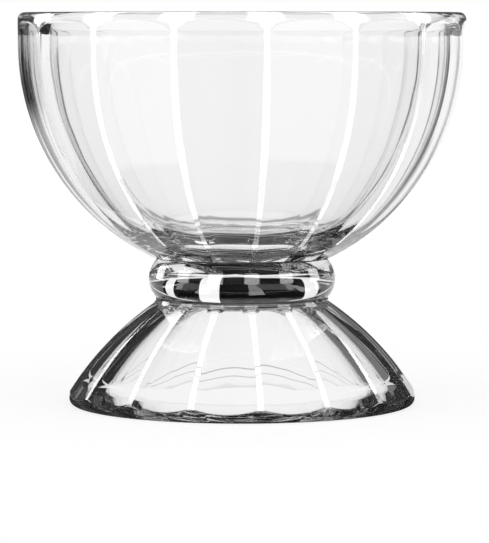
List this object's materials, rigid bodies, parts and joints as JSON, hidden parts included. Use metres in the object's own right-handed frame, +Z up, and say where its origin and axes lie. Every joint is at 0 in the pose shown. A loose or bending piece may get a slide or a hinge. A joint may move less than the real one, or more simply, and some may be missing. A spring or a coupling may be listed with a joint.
{
  "type": "sundae glass",
  "caption": "Clear footed sundae glass: a deep bowl with flat fluted panels, fused through a rounded neck ring to a flared, hollow foot.",
  "frame": {"origin": "centre of the ring that the foot stands on, in the plane of the table", "axes": "+Z up along the axis of the glass; +X passes through the middle of a panel"},
  "size_m": [0.114, 0.114, 0.1],
  "materials": {
    "clear_glass": "clear soda-lime glass, pressed and fire-polished"
  },
  "bodies": {
    "root": {"bowl": "clear_glass", "neck_ring": "clear_glass", "foot": "clear_glass"}
  },
  "joints": []
}
